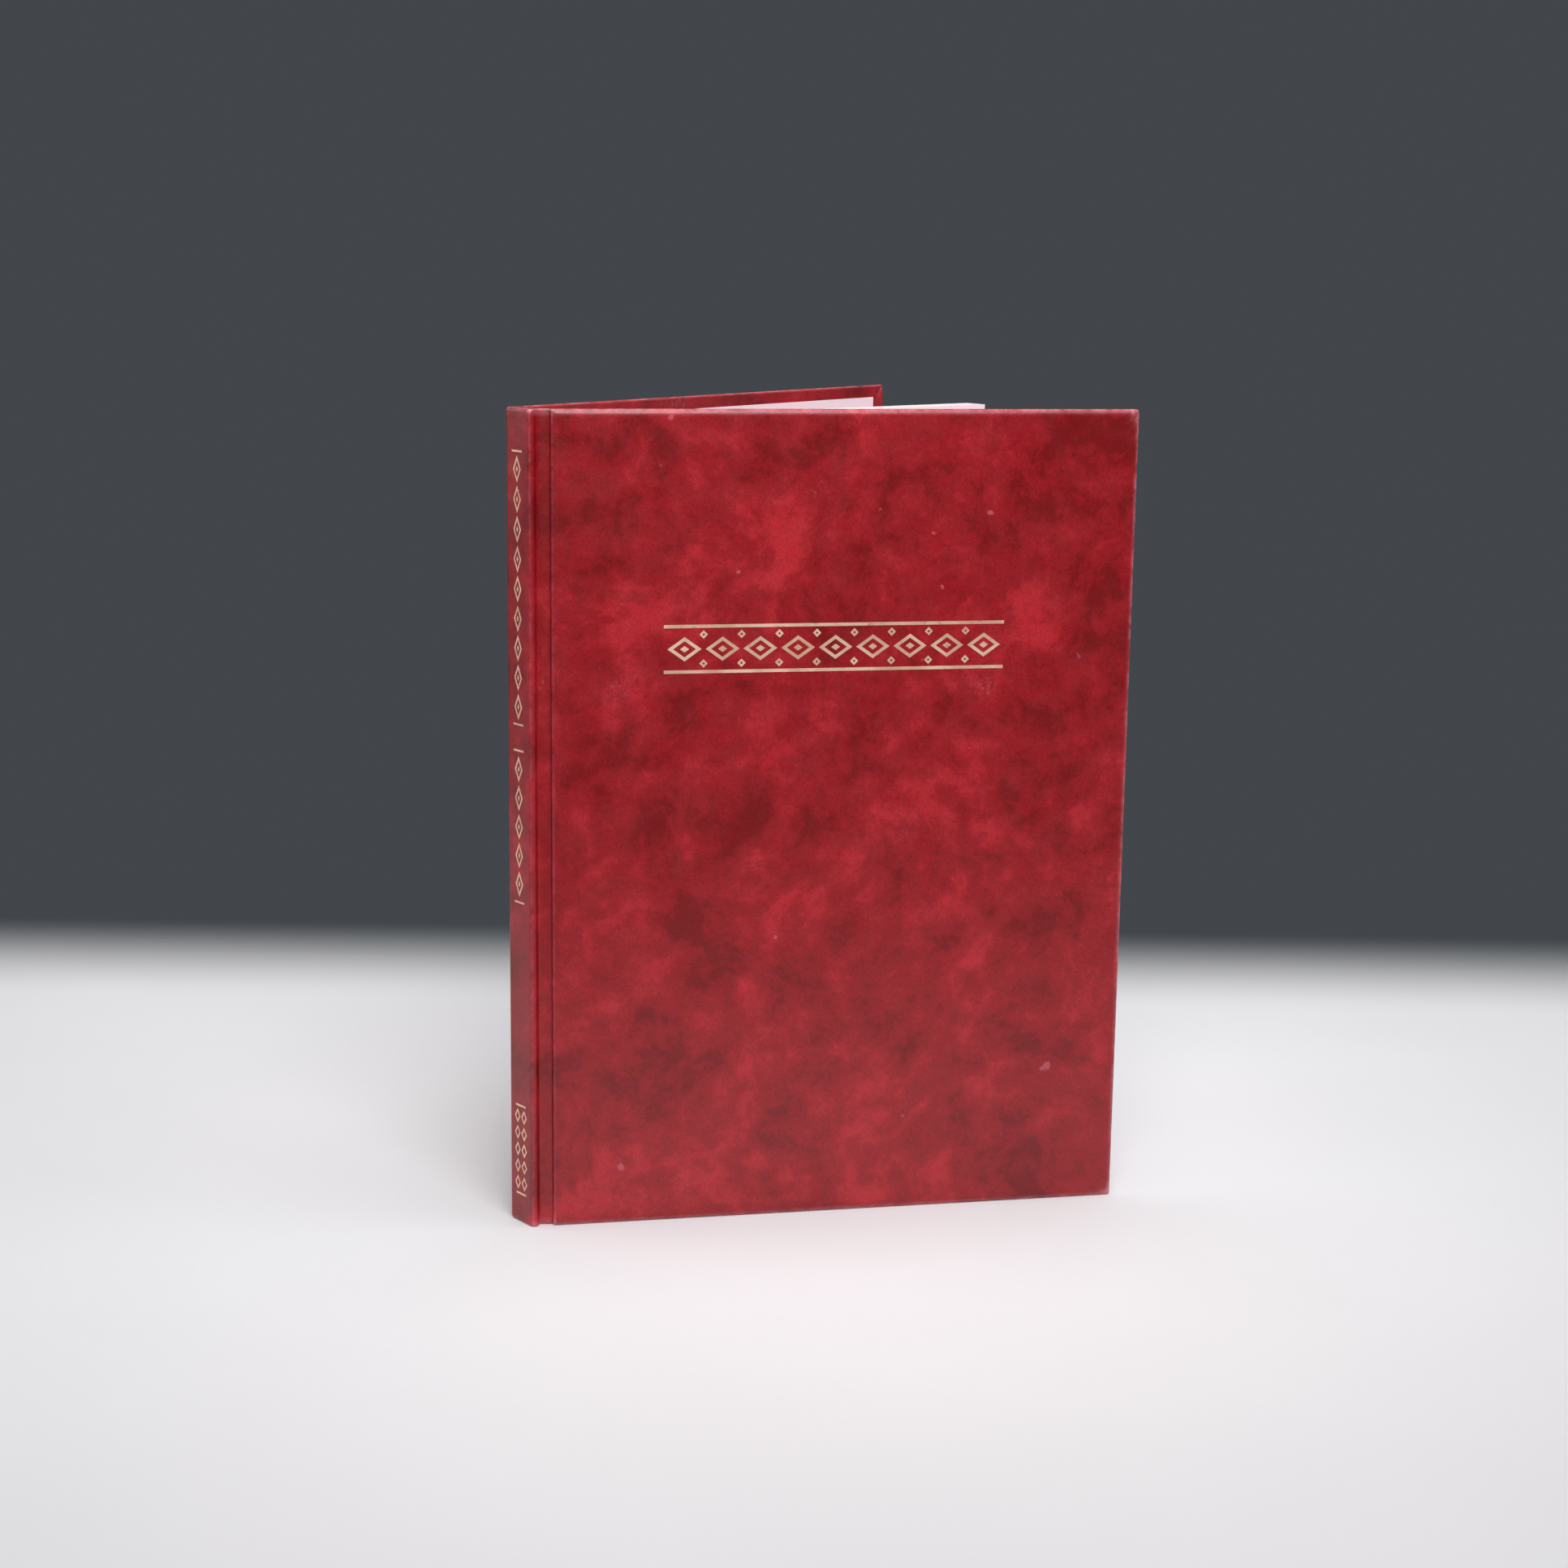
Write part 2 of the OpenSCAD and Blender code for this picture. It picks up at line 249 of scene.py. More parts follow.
def sheet_between(front, back):
    """Points and faces of a closed sheet from two grids of points, its two faces."""
    rows, columns = len(front), len(front[0])
    points = [p for row in front + back for p in row]
    faces = []

    def at(layer, i, j):
        return layer * rows * columns + i * columns + j

    for i in range(rows - 1):
        for j in range(columns - 1):
            for layer in (0, 1):
                corners = ((i, j), (i + 1, j), (i + 1, j + 1), (i, j + 1))
                faces.append(tuple(at(layer, *corner) for corner in corners))
    for i in range(rows - 1):
        for j in (0, columns - 1):
            faces.append((at(0, i, j), at(0, i + 1, j), at(1, i + 1, j), at(1, i, j)))
    for j in range(columns - 1):
        for i in (0, rows - 1):
            faces.append((at(0, i, j), at(0, i, j + 1), at(1, i, j + 1), at(1, i, j)))
    return points, faces


def paint_wear_and_highlight(piece, amount):
    """Stores how much each point of a piece is painted pale, for rubbing and for painted highlight, for its
    finish.
    """
    wear_and_highlight = piece.data.attributes.new("wear_and_highlight", "FLOAT", "POINT")
    wear_and_highlight.data.foreach_set("value", [amount(*(c / MM for c in v.co)) for v in piece.data.vertices])


# Node trees
class Nodes:
    """Adds nodes to a tree. An input takes a plain value or another node's socket."""

    def __init__(self, tree):
        self.tree = tree

    def link(self, source, target):
        self.tree.links.new(source, target)

    def add(self, kind, inputs=None, **settings):
        node = self.tree.nodes.new(kind)
        for name, value in settings.items():
            setattr(node, name, value)
        for name, value in (inputs or {}).items():
            if isinstance(value, bpy.types.NodeSocket):
                self.link(value, node.inputs[name])
            else:
                node.inputs[name].default_value = value
        return node

    def calc(self, operation, a, b=0.0, clamp=False):
        return self.add("ShaderNodeMath", {0: a, 1: b}, operation=operation, use_clamp=clamp).outputs[0]

    def plus(self, a, b):
        return self.calc("ADD", a, b)

    def minus(self, a, b):
        return self.calc("SUBTRACT", a, b)

    def times(self, a, b, clamp=False):
        return self.calc("MULTIPLY", a, b, clamp)

    def over(self, a, b):
        return self.calc("DIVIDE", a, b)

    def vector(self, parts):
        return self.add("ShaderNodeCombineXYZ", parts).outputs[0]

    def parts(self, vector):
        return self.add("ShaderNodeSeparateXYZ", {0: vector}).outputs


class Finish(Nodes):
    """A material in the making, with its patterns on Object coordinates."""

    def __init__(self, name):
        self.material = bpy.data.materials.new(name)
        self.material.use_nodes = True
        super().__init__(self.material.node_tree)
        self.tree.nodes.clear()
        self.surface = self.add("ShaderNodeOutputMaterial").inputs["Surface"]
        self.shader = self.add("ShaderNodeBsdfPrincipled")
        self.link(self.shader.outputs["BSDF"], self.surface)
        self.where = self.add("ShaderNodeTexCoord").outputs["Object"]

    def attribute(self, name):
        return self.add("ShaderNodeAttribute", attribute_name=name).outputs["Fac"]

    def shift(self, operation, inputs):
        return self.add("ShaderNodeVectorMath", inputs, operation=operation).outputs[0]

    def noise(self, scale, detail=4.0, roughness=0.55, where=None):
        inputs = {"Vector": where or self.where, "Scale": scale, "Detail": detail, "Roughness": roughness}
        return self.add("ShaderNodeTexNoise", inputs).outputs["Fac"]

    def wave(self, way, inputs):
        inputs = {"Vector": self.where, **inputs}
        return self.add("ShaderNodeTexWave", inputs, bands_direction=way).outputs["Fac"]

    def slope(self, value, low, high, out_low=0.0, out_high=1.0):
        """A soft step from one level of a value to another."""
        inputs = {"Value": value, "From Min": low, "From Max": high, "To Min": out_low, "To Max": out_high}
        return self.add("ShaderNodeMapRange", inputs, interpolation_type="SMOOTHSTEP").outputs["Result"]

    def blend(self, factor, a, b, kind="MIX"):
        """Colour a turned into b."""
        a, b = (c if isinstance(c, bpy.types.NodeSocket) else (*c, 1) for c in (a, b))
        settings = {"data_type": "RGBA", "blend_type": kind, "clamp_factor": True}
        return self.add("ShaderNodeMix", {0: factor, 6: a, 7: b}, **settings).outputs[2]

    def bump(self, height, distance, strength, below=None):
        inputs = {"Height": height, "Distance": distance, "Strength": strength}
        if below is not None:
            inputs["Normal"] = below
        return self.add("ShaderNodeBump", inputs).outputs["Normal"]

    def done(self, colour, roughness, normal, constants):
        """Joins the patterns to the shader, sets its constant values and gives the material."""
        for name, socket in {"Base Color": colour, "Roughness": roughness, "Normal": normal}.items():
            self.link(socket, self.shader.inputs[name])
        for name, value in constants.items():
            self.shader.inputs[name].default_value = value
        return self.material


CRIMSON = (0.425, 0.0145, 0.0235)
WINE = (0.275, 0.0052, 0.0100)
MAROON = (0.180, 0.0018, 0.0038)
# Pinkish pale colour of rubbed edges, used also as a painted highlight on the rounded edges and ridges
RUBBED_AND_HIGHLIGHT = (0.70, 0.22, 0.27)


def leatherette():
    """Covering cloth: crimson and maroon clouds under a fine grain, with a satin face, and edges painted pale
    as wear and as painted highlight.
    """
    n = Finish("mottled_leatherette")
    drift = n.add("ShaderNodeTexNoise", {"Vector": n.where, "Scale": 22.0, "Detail": 3.0}).outputs["Color"]
    drift = n.shift("SUBTRACT", {0: drift, 1: (0.5, 0.5, 0.5)})
    drift = n.shift("SCALE", {0: drift, "Scale": 0.022})
    warped = n.shift("ADD", {0: n.where, 1: drift})
    clouds = n.noise(30.0, 10.0, 0.62, where=warped)
    patches = n.noise(88.0, 8.0, 0.66, where=warped)
    speckle = n.noise(520.0, 4.0, 0.75)
    mottle = n.plus(n.plus(n.times(clouds, 0.50), n.times(patches, 0.40)), n.times(speckle, 0.10))
    colour = n.blend(n.slope(mottle, 0.41, 0.50), MAROON, WINE)
    colour = n.blend(n.slope(mottle, 0.490, 0.605), colour, CRIMSON)
    flecks = n.slope(n.noise(1500.0, 3.0, 0.8), 0.40, 0.60, 0.86, 1.12)
    tint = n.add("ShaderNodeCombineColor", {0: flecks, 1: flecks, 2: flecks}).outputs[0]
    colour = n.blend(1.0, colour, tint, "MULTIPLY")

    patchy = n.slope(n.noise(260.0, 6.0, 0.7), 0.36, 0.66)
    # Where the stored amount is high the cloth is painted pale: partly real rubbing, partly painted highlight
    rubbed_and_highlight = n.times(n.attribute("wear_and_highlight"), n.plus(n.times(patchy, 0.65), 0.2), clamp=True)
    specks = n.slope(n.noise(150.0, 2.0, 0.5), 0.735, 0.79)
    scuffs = n.slope(n.noise(34.0, 2.0, 0.5), 0.66, 0.80)
    scuffs = n.times(scuffs, n.slope(n.noise(700.0, 5.0, 0.8), 0.5, 0.62))
    pale = n.calc("MAXIMUM", n.times(specks, 0.30), n.times(scuffs, 0.20))
    pale = n.calc("MAXIMUM", pale, rubbed_and_highlight)

    pebbles = {"Vector": n.where, "Scale": 1150.0, "Smoothness": 0.6}
    cells = n.add("ShaderNodeTexVoronoi", pebbles, feature="SMOOTH_F1").outputs["Distance"]
    grain = n.plus(n.times(cells, 0.7), n.times(n.noise(2400.0, 3.0, 0.6), 0.3))
    pressed = n.bump(n.noise(46.0, 2.0, 0.4), 0.00055, 0.35)
    gloss = n.slope(n.noise(95.0, 5.0, 0.6), 0.3, 0.7, 0.29, 0.37)
    return n.done(
        n.blend(pale, colour, RUBBED_AND_HIGHLIGHT),
        n.plus(gloss, n.times(pale, 0.25)),
        n.bump(grain, 0.00009, 0.35, pressed),
        {"IOR": 1.5, "Specular IOR Level": 0.5},
    )


def leaf_paper():
    """Edges of the leaves: warm white, each leaf a little different."""
    n = Finish("leaf_paper")
    fibre = n.noise(900.0, 5.0, 0.7)
    cloud = n.noise(40.0, 3.0, 0.5)
    colour = n.blend(n.attribute("leaf_tone"), (0.76, 0.71, 0.70), (0.86, 0.82, 0.82))
    colour = n.blend(n.slope(cloud, 0.35, 0.7, 0.0, 0.35), colour, (0.80, 0.75, 0.72))
    colour = n.blend(n.slope(fibre, 0.3, 0.7, 0.0, 0.25), colour, (0.70, 0.66, 0.64))
    rough = n.slope(fibre, 0.3, 0.7, 0.82, 0.95)
    return n.done(colour, rough, n.bump(fibre, 0.00003, 0.5), {"Specular IOR Level": 0.25})


def endpaper():
    """Smooth, faintly rosy paper of the endpapers."""
    n = Finish("rosy_endpaper")
    fibre = n.noise(1100.0, 5.0, 0.7)
    cloud = n.noise(30.0, 4.0, 0.55)
    colour = n.blend(n.slope(cloud, 0.35, 0.68), (0.90, 0.70, 0.765), (0.93, 0.745, 0.81))
    colour = n.blend(n.slope(fibre, 0.3, 0.7, 0.0, 0.2), colour, (0.76, 0.62, 0.66))
    rough = n.slope(fibre, 0.3, 0.7, 0.62, 0.78)
    cockled = n.bump(n.noise(55.0, 3.0, 0.5), 0.0004, 0.3)
    return n.done(colour, rough, n.bump(fibre, 0.00003, 0.5, cockled), {"Specular IOR Level": 0.35})


def greyboard():
    """Pulp board: grey-brown fibre with dark flecks."""
    n = Finish("greyboard_pulp")
    fibre = n.noise(650.0, 7.0, 0.8)
    fleck = n.slope(n.noise(1700.0, 2.0, 0.5), 0.62, 0.72)
    colour = n.blend(n.slope(fibre, 0.35, 0.65), (0.24, 0.21, 0.17), (0.40, 0.36, 0.30))
    colour = n.blend(n.times(fleck, 0.6), colour, (0.10, 0.09, 0.08))
    rough = n.slope(fibre, 0.3, 0.7, 0.85, 0.97)
    return n.done(colour, rough, n.bump(fibre, 0.00012, 0.6), {"Specular IOR Level": 0.2})


def kraft():
    """Brown paper with faint ribs."""
    n = Finish("kraft_lining")
    ribs = n.wave("Y", {"Scale": 330.0, "Distortion": 1.5, "Detail": 3.0})
    fibre = n.noise(800.0, 6.0, 0.75)
    colour = n.blend(n.slope(fibre, 0.35, 0.65), (0.29, 0.185, 0.10), (0.44, 0.30, 0.18))
    colour = n.blend(n.times(ribs, 0.25), colour, (0.50, 0.36, 0.22))
    rough = n.slope(fibre, 0.3, 0.7, 0.72, 0.88)
    return n.done(colour, rough, n.bump(ribs, 0.00005, 0.5), {"Specular IOR Level": 0.3})


def gauze():
    """Open-weave mull: threads in two directions."""
    n = Finish("open_weave_mull")
    weave = {"Scale": 210.0, "Distortion": 0.6, "Detail Scale": 3.0}
    threads = n.calc("MAXIMUM", n.wave("Z", weave), n.wave("X", weave))
    colour = n.blend(threads, (0.36, 0.31, 0.22), (0.74, 0.70, 0.58))
    rough = n.slope(n.noise(500.0), 0.3, 0.7, 0.85, 0.97)
    return n.done(colour, rough, n.bump(threads, 0.0001, 0.8), {"Specular IOR Level": 0.2})


def band_thread():
    """Thread of the bands, in turns of red and cream."""
    n = Finish("band_thread")
    fibre = n.noise(3000.0, 4.0, 0.7)
    colour = n.blend(n.attribute("thread_tone"), (0.36, 0.02, 0.025), (0.76, 0.68, 0.52))
    colour = n.blend(n.slope(fibre, 0.35, 0.65, 0.0, 0.4), colour, (0.25, 0.1, 0.08))
    rough = n.slope(fibre, 0.3, 0.7, 0.5, 0.7)
    return n.done(colour, rough, n.bump(fibre, 0.00003, 0.6), {"Sheen Weight": 0.3})


def gold_foil():
    """Pressed foil: pale gold that has rubbed thin in places."""
    n = Finish("pressed_gold_foil")
    thin = n.slope(n.noise(420.0, 6.0, 0.75), 0.56, 0.70)
    cloud = n.noise(90.0, 3.0, 0.5)
    colour = n.blend(n.slope(cloud, 0.35, 0.65), (0.80, 0.48, 0.33), (0.90, 0.63, 0.46))
    colour = n.blend(n.times(thin, 0.55), colour, (0.34, 0.05, 0.04))
    rough = n.slope(cloud, 0.3, 0.7, 0.34, 0.46)
    return n.done(colour, rough, n.bump(n.noise(1400.0, 3.0, 0.6), 0.00005, 0.5), {"Metallic": 0.45})


LEATHERETTE = leatherette()
LEAF_PAPER = leaf_paper()
ENDPAPER = endpaper()
GREYBOARD = greyboard()
KRAFT = kraft()
GAUZE = gauze()
BAND_THREAD = band_thread()
GOLD_FOIL = gold_foil()


# Covering cloth
def wrap_profile():
    """Section through the cloth round a board's edge: each point's distance in from it, and its level."""
    board_r = EDGE_R - CLOTH_T
    profile = [(d, FACE_V) for d in (TURN_IN, 8.0, 4.5, 2.9)]
    for a in quarter(ARC_STEPS):
        profile.append((EDGE_REACH * (1 - math.sin(a)), FACE_V - EDGE_R * (1 - math.cos(a))))
    profile.append((0.0, (FACE_V - EDGE_R + TURN_V + SOFT_R) / 2))
    for a in quarter(SMALL_STEPS):
        profile.append((SOFT_R * (1 - math.cos(a)), TURN_V + SOFT_R * (1 - math.sin(a))))
    profile += [(d, TURN_V) for d in (0.9, 1.5, 2.4, 3.6, 6.0, 10.0, 14.6)]
    profile += [(TURN_IN, TURN_V + 0.12), (TURN_IN, BOARD_V), (CLOTH_T, BOARD_V)]
    for a in quarter(SMALL_STEPS):
        profile.append((EDGE_R - board_r * math.cos(a), OUTER_V - board_r * (1 - math.sin(a))))
    profile.append((TURN_IN, OUTER_V))
    return profile


def edge_point(side, share, d):
    """A point's u and z, a distance in from one side or corner of a cover and a share of the way along it."""
    far = max(d, CORNER_R)
    if side == "tail":
        return between(CLOTH_SEAM_U, BOARD_U1 - far, share), d
    if side == "fore_edge":
        return BOARD_U1 - d, between(far, CASE_H - far, share)
    if side == "head":
        return between(BOARD_U1 - far, CLOTH_SEAM_U, share), CASE_H - d
    radius = max(CORNER_R - d, 0.0)
    a = math.radians((-90 if side == "low_corner" else 0) + 90 * share)
    z = far if side == "low_corner" else CASE_H - far
    return BOARD_U1 - far + radius * math.cos(a), z + radius * math.sin(a)


def board_stations():
    """Places round a cover's three free sides, closer to each other near the mitred corners."""
    to_mitre = [0.0, 0.25, 0.5, 0.75, 0.9, 0.96, 0.985, 0.995, 1.0]
    round_corner = [0.2, 0.4, 0.6, 0.8]
    stations = [("tail", s) for s in to_mitre]
    stations += [("low_corner", s) for s in round_corner]
    stations += [("fore_edge", s) for s in sorted([1 - s for s in to_mitre[4:]] + to_mitre)]
    stations += [("high_corner", s) for s in round_corner]
    return stations + [("head", 1 - s) for s in reversed(to_mitre)]


def covered_board(cover):
    """Cloth round one board: outer sheet, wrapped edges and turn-ins, open on the side of the joint."""
    profile = wrap_profile()
    points = []
    for side, share in board_stations():
        at_mitre = "corner" in side or (side != "head" and share == 1) or (side != "tail" and share == 0)
        for d, v in profile:
            u, z = edge_point(side, share, d)
            if at_mitre and v == TURN_V and SOFT_R < d < TURN_IN:
                v += MITRE_RISE
            points.append((*on_cover(cover, u, v), z))
    count = len(profile)
    last = len(points) - count
    faces = []
    for i in range(0, last, count):
        for j in range(i, i + count - 1):
            faces.append((j, j + 1, j + count + 1, j + count))
    faces += [tuple(range(count)), tuple(range(last, last + count))]
    faces += [tuple(range(j, last + count, count)) for j in (0, count - 1)]
    faces.append((0, count - 1, last + count - 1, last))
    piece = make_piece(f"{cover}_cover_cloth", points, faces, LEATHERETTE)

    # Pale paint along head, tail and fore-edge, strongest at the corners: partly wear, partly a painted
    # highlight on the rounded edges
    def amount(x, y, z):
        u, v = from_cover(cover, x, y)
        if v < TURN_V + 0.1:
            return 0.0
        ends, fore = min(z, CASE_H - z), BOARD_U1 - u
        return min(1.0, 0.72 * bell(min(ends, fore), 0.85) + 1.15 * bell(math.hypot(ends, fore), 2.6))

    paint_wear_and_highlight(piece, amount)
    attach(piece, f"{cover}_cover")
    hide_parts(f"{cover}_cloth")


def joint_stations(cover):
    """Places in plan of the cloth from the spine panel through the groove and round the board's edge.

    Each gives the outer face, the inner face where the cloth lies single, that of the turned-in cloth,
    and the rounding at head and tail.
    """

    def board(u, v):
        return Vector(beside_block(cover, u, v))

    half = CLOTH_T / 2
    middle = [Vector((SPINE_X0 + half, PANEL_SEAM_Y + rise)) for rise in (0, 0.15)]
    inner = [Vector((SPINE_X1, PANEL_SEAM_Y + rise)) for rise in (0, 0.03)]
    for a in quarter(ARC_STEPS):
        turned = Vector((-math.cos(a), math.sin(a))) * (EDGE_R - half)
        middle.append(Vector((SPINE_X0 + EDGE_R, SPINE_HALF - EDGE_R)) + turned)
    behind_strip = spaced(PANEL_SEAM_Y + 0.06, STRIP_HALF - CLOTH_T - 0.1, ARC_STEPS)
    inner += [Vector((SPINE_X1, y)) for y in behind_strip]
    foot = hinge_line(cover, CLOTH_LEVELS)
    hem = hinge_line(cover, HEM_LEVELS)
    for t in spaced(0, 1, CURVE_STEPS)[:-1]:
        y = between(SPINE_HALF - half, foot[0].y, eased(t))
        middle.append(Vector((between(STRIP_X1, foot[0].x, t), y)))
        y = between(STRIP_HALF - CLOTH_T, hem[0].y, eased(t))
        inner.append(Vector((between(SPINE_X1 + 0.05, hem[0].x, t), y)))
    middle += foot
    inner += hem

    crease_r = 0.3
    edge_u, edge_v = BOARD_U0 + half, BOARD_V + half
    crease = []
    for a in quarter(SMALL_STEPS):
        crease.append((edge_u - crease_r * (1 - math.sin(a)), edge_v + crease_r * (1 - math.cos(a))))
    rise = [(edge_u, v) for v in (1.6, 1.85)]
    over = []
    for a in quarter(ARC_STEPS):
        u = BOARD_U0 + EDGE_REACH - (EDGE_REACH - half) * math.cos(a)
        over.append((u, FACE_V - EDGE_R + (EDGE_R - half) * math.sin(a)))
    flat = [(u, FACE_V - half) for u in (BOARD_U0 + 2.5, CLOTH_SEAM_U)]
    along = crease + rise + over + flat
    for i, (u, v) in enumerate(along):
        middle.append(board(u, v))
        inner.append(board(between(JOINT_U1 + 0.35, CLOTH_SEAM_U, (i + 1) / len(along)), TURN_V))
    outer, single = beside(middle, half), beside(middle, -half)
    outer[-1], single[-1], inner[-1] = (board(CLOTH_SEAM_U, v) for v in (FACE_V, OUTER_V, TURN_V))
    outer[0], single[0] = (Vector((x, PANEL_SEAM_Y)) for x in (SPINE_X0, STRIP_X0))

    rolls = []
    for k in range(len(along) - len(outer), len(along)):
        share = step(0, len(rise) + len(over), k)
        past_rise = k - len(crease) - len(rise)
        drop = 0.0
        if past_rise >= 0:
            drop = EDGE_R * (1 - math.sin(math.radians(90 * min(1, past_rise / ARC_STEPS))))
        plain_and_board = ((ROLL_R, EDGE_R), (ROLL_REACH, EDGE_REACH), (INNER_R, SOFT_R))
        rolls.append((*(between(a, b, share) for a, b in plain_and_board), drop))
    return list(zip(outer, single, inner, rolls))


def upright_ring(outer, single, turned, rolls=(ROLL_R, ROLL_REACH, INNER_R, 0.0)):
    """Section through the cloth at one place in plan: single in the middle, and turned in at head and tail.

    The rolls are the outer rounding's depth and its reach down the face, the inner rounding, and how far
    the face itself lies below the board's here.
    """
    round_r, round_reach, inner_r, drop = rolls
    depth = (turned - outer).length
    way = (turned - outer) / depth
    roll = min(round_r, 0.5 * depth)
    reach = round_reach * roll / round_r
    inner_roll = min(inner_r, 0.3 * depth)
    low = [reach, 2.5, 3.5, 6.0, TURN_IN]
    ring = [(outer, z) for z in (*low, 60.0, CASE_H / 2, 192.0)]
    ring += [(outer, CASE_H - z) for z in reversed(low)]
    tail = []
    for a in quarter(ARC_STEPS)[1:]:
        sunk = roll * (1 - math.cos(a))
        sunk = (sunk**3 + drop**3) ** (1 / 3) - drop
        tail.append((outer + way * sunk, reach * (1 - math.sin(a))))
    for a in quarter(SMALL_STEPS):
        tail.append((outer + way * (depth - inner_roll * (1 - math.sin(a))), inner_roll * (1 - math.cos(a))))
    ring += [(p, CASE_H - z) for p, z in tail]
    ring += [(turned, CASE_H - TURN_IN), (single, CASE_H - TURN_IN), (single, CASE_H / 2)]
    ring += [(single, TURN_IN), (turned, TURN_IN)]
    return ring + tail[:0:-1]


def bend_with(piece):
    """A piece of the joint has its placement baked into its mesh; it is not tied to the block or a cover."""
    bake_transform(piece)


def joint_cloth(cover):
    """Cloth from the edge of the spine panel through the groove and over the board's hinge edge."""
    side = COVERS[cover][0]
    rings = []
    for station in joint_stations(cover):
        rings.append([(p.x, side * p.y, z) for p, z in upright_ring(*station)])
    piece = make_piece(f"{cover}_joint_cloth", *loft(rings), LEATHERETTE)
    # How far the middle of a rounding lies in from both of its faces, and how wide the pale ridge is, painted
    # as wear and as a painted highlight
    in_from = EDGE_R * (1 - math.sqrt(0.5))
    ridge_w = 0.5

    def amount(x, y, z):
        u, v = from_cover(cover, x, y)
        end = min(z, CASE_H - z)
        board_ridge = bell(math.hypot(u - BOARD_U0 - in_from, v - FACE_V + in_from), ridge_w)
        spine_ridge = bell(math.hypot(x - SPINE_X0 - in_from, abs(y) - SPINE_HALF + in_from), ridge_w)
        # Pale paint at head and tail and along the spine's and board's ridges, brightest at the ridges' ends:
        # partly wear, partly painted highlight and glints
        return min(1.0, 0.7 * bell(end, 0.8) + (0.22 + 1.3 * bell(end, 2.2)) * (board_ridge + spine_ridge))

    paint_wear_and_highlight(piece, amount)
    bend_with(piece)


def spine_panel_cloth():
    """Cloth over the flat spine strip, turned in behind it at head and tail."""
    rings = []
    for y in spaced(-PANEL_SEAM_Y, PANEL_SEAM_Y, 12):
        ring = upright_ring(*(Vector((x, y)) for x in (SPINE_X0, STRIP_X0, SPINE_X1)))
        rings.append([(p.x, p.y, z) for p, z in ring])
    piece = make_piece("spine_panel_cloth", *loft(rings), LEATHERETTE)
    # Pale paint along the head and tail edges: partly wear, partly a painted highlight on the rounding
    paint_wear_and_highlight(piece, lambda x, y, z: 0.7 * bell(min(z, CASE_H - z), 0.6))
    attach(piece, "book_block")
    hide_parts("spine_cloth")


# Paper
def paste_level(u, z):
    """Face of the pastedown: over the turn-ins, over the mull flap, and sunk to the board between them."""
    soft = 0.9

    def past(edge, x):
        return step(edge - soft, edge + soft, x)

    over_cloth = max(1 - past(TURN_IN, z), past(CASE_H - TURN_IN, z), past(BOARD_U1 - TURN_IN, u))
    over_flap = (1 - past(BOARD_U0 + FLAP_W, u)) * past(MULL_Z0, z) * (1 - past(MULL_Z1, z))
    ripple = 0.02 * math.sin(0.11 * u + 0.07 * z) * math.sin(0.05 * z - 0.03 * u)
    sunk = BOARD_V - PAPER_T - max(CLOTH_T * over_cloth, MULL_T * over_flap)
    return sunk + ripple * (1 - over_cloth) * step(PAPER_SEAM_U, PAPER_SEAM_U + 10, u)


def refined(values, centres):
    """A list of places with closer ones round each step in the relief."""
    low, high = min(values), max(values)
    near = (-1.8, -0.9, -0.45, 0.0, 0.45, 0.9, 1.8)
    extra = [c + s for c in centres for s in near if low < c + s < high]
    kept = [v for v in values if v in (low, high) or all(abs(v - e) > 0.4 for e in extra)]
    return sorted(set(kept + extra))


RELIEF_HEIGHTS = (TURN_IN, MULL_Z0 + 1.4, MULL_Z1 - 1.4, CASE_H - TURN_IN)
PAPER_HEIGHTS = refined(spaced(PAGE_Z0, PAGE_Z1, 40), RELIEF_HEIGHTS)


def pastedown(cover):
    """The endpaper's half that is glued to the board."""
    across = spaced(PAPER_SEAM_U, BOARD_U1 - PASTE_MARGIN, 36)
    across = refined(across, (BOARD_U0 + FLAP_W, BOARD_U1 - TURN_IN))
    front, back = [], []
    for grid, below in ((front, 0), (back, PAPER_T)):
        for u in across:
            grid.append([(*on_cover(cover, u, paste_level(u, z) + below), z) for z in PAPER_HEIGHTS])
    piece = make_piece(f"{cover}_pastedown_sheet", *sheet_between(front, back), ENDPAPER)
    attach(piece, f"{cover}_cover")
    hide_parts(f"{cover}_pastedown")


def endpaper_joint(cover):
    """The stretch of endpaper that leaves the fold and crosses the joint to the board."""
    side = COVERS[cover][0]
    half = PAPER_T / 2
    line = [Vector((BLOCK_X0 + along, HALF_BLOCK + FOLD_LEVELS[0])) for along in (0, 0.5)]
    line += hinge_line(cover, FOLD_LEVELS)
    front, back = [], []
    for inner, outer in zip(beside(line, -half), beside(line, half)):
        front.append([(inner.x, side * inner.y, z) for z in PAPER_HEIGHTS])
        back.append([(outer.x, side * outer.y, z) for z in PAPER_HEIGHTS])
    settled_after = 1.9
    for u in (3.5, 3.9, 4.4, 5.0, 6.0, 7.0, PAPER_SEAM_U):
        share = eased(min(1.0, (u - JOINT_U1) / settled_after))
        levels = [between(FOLD_LEVELS[1] - half, paste_level(u, z), share) for z in PAPER_HEIGHTS]
        front.append([(*on_cover(cover, u, v), z) for v, z in zip(levels, PAPER_HEIGHTS)])
        back.append([(*on_cover(cover, u, v + PAPER_T), z) for v, z in zip(levels, PAPER_HEIGHTS)])
    piece = make_piece(f"{cover}_endpaper_joint", *sheet_between(front, back), ENDPAPER, sharp=60)
    bend_with(piece)


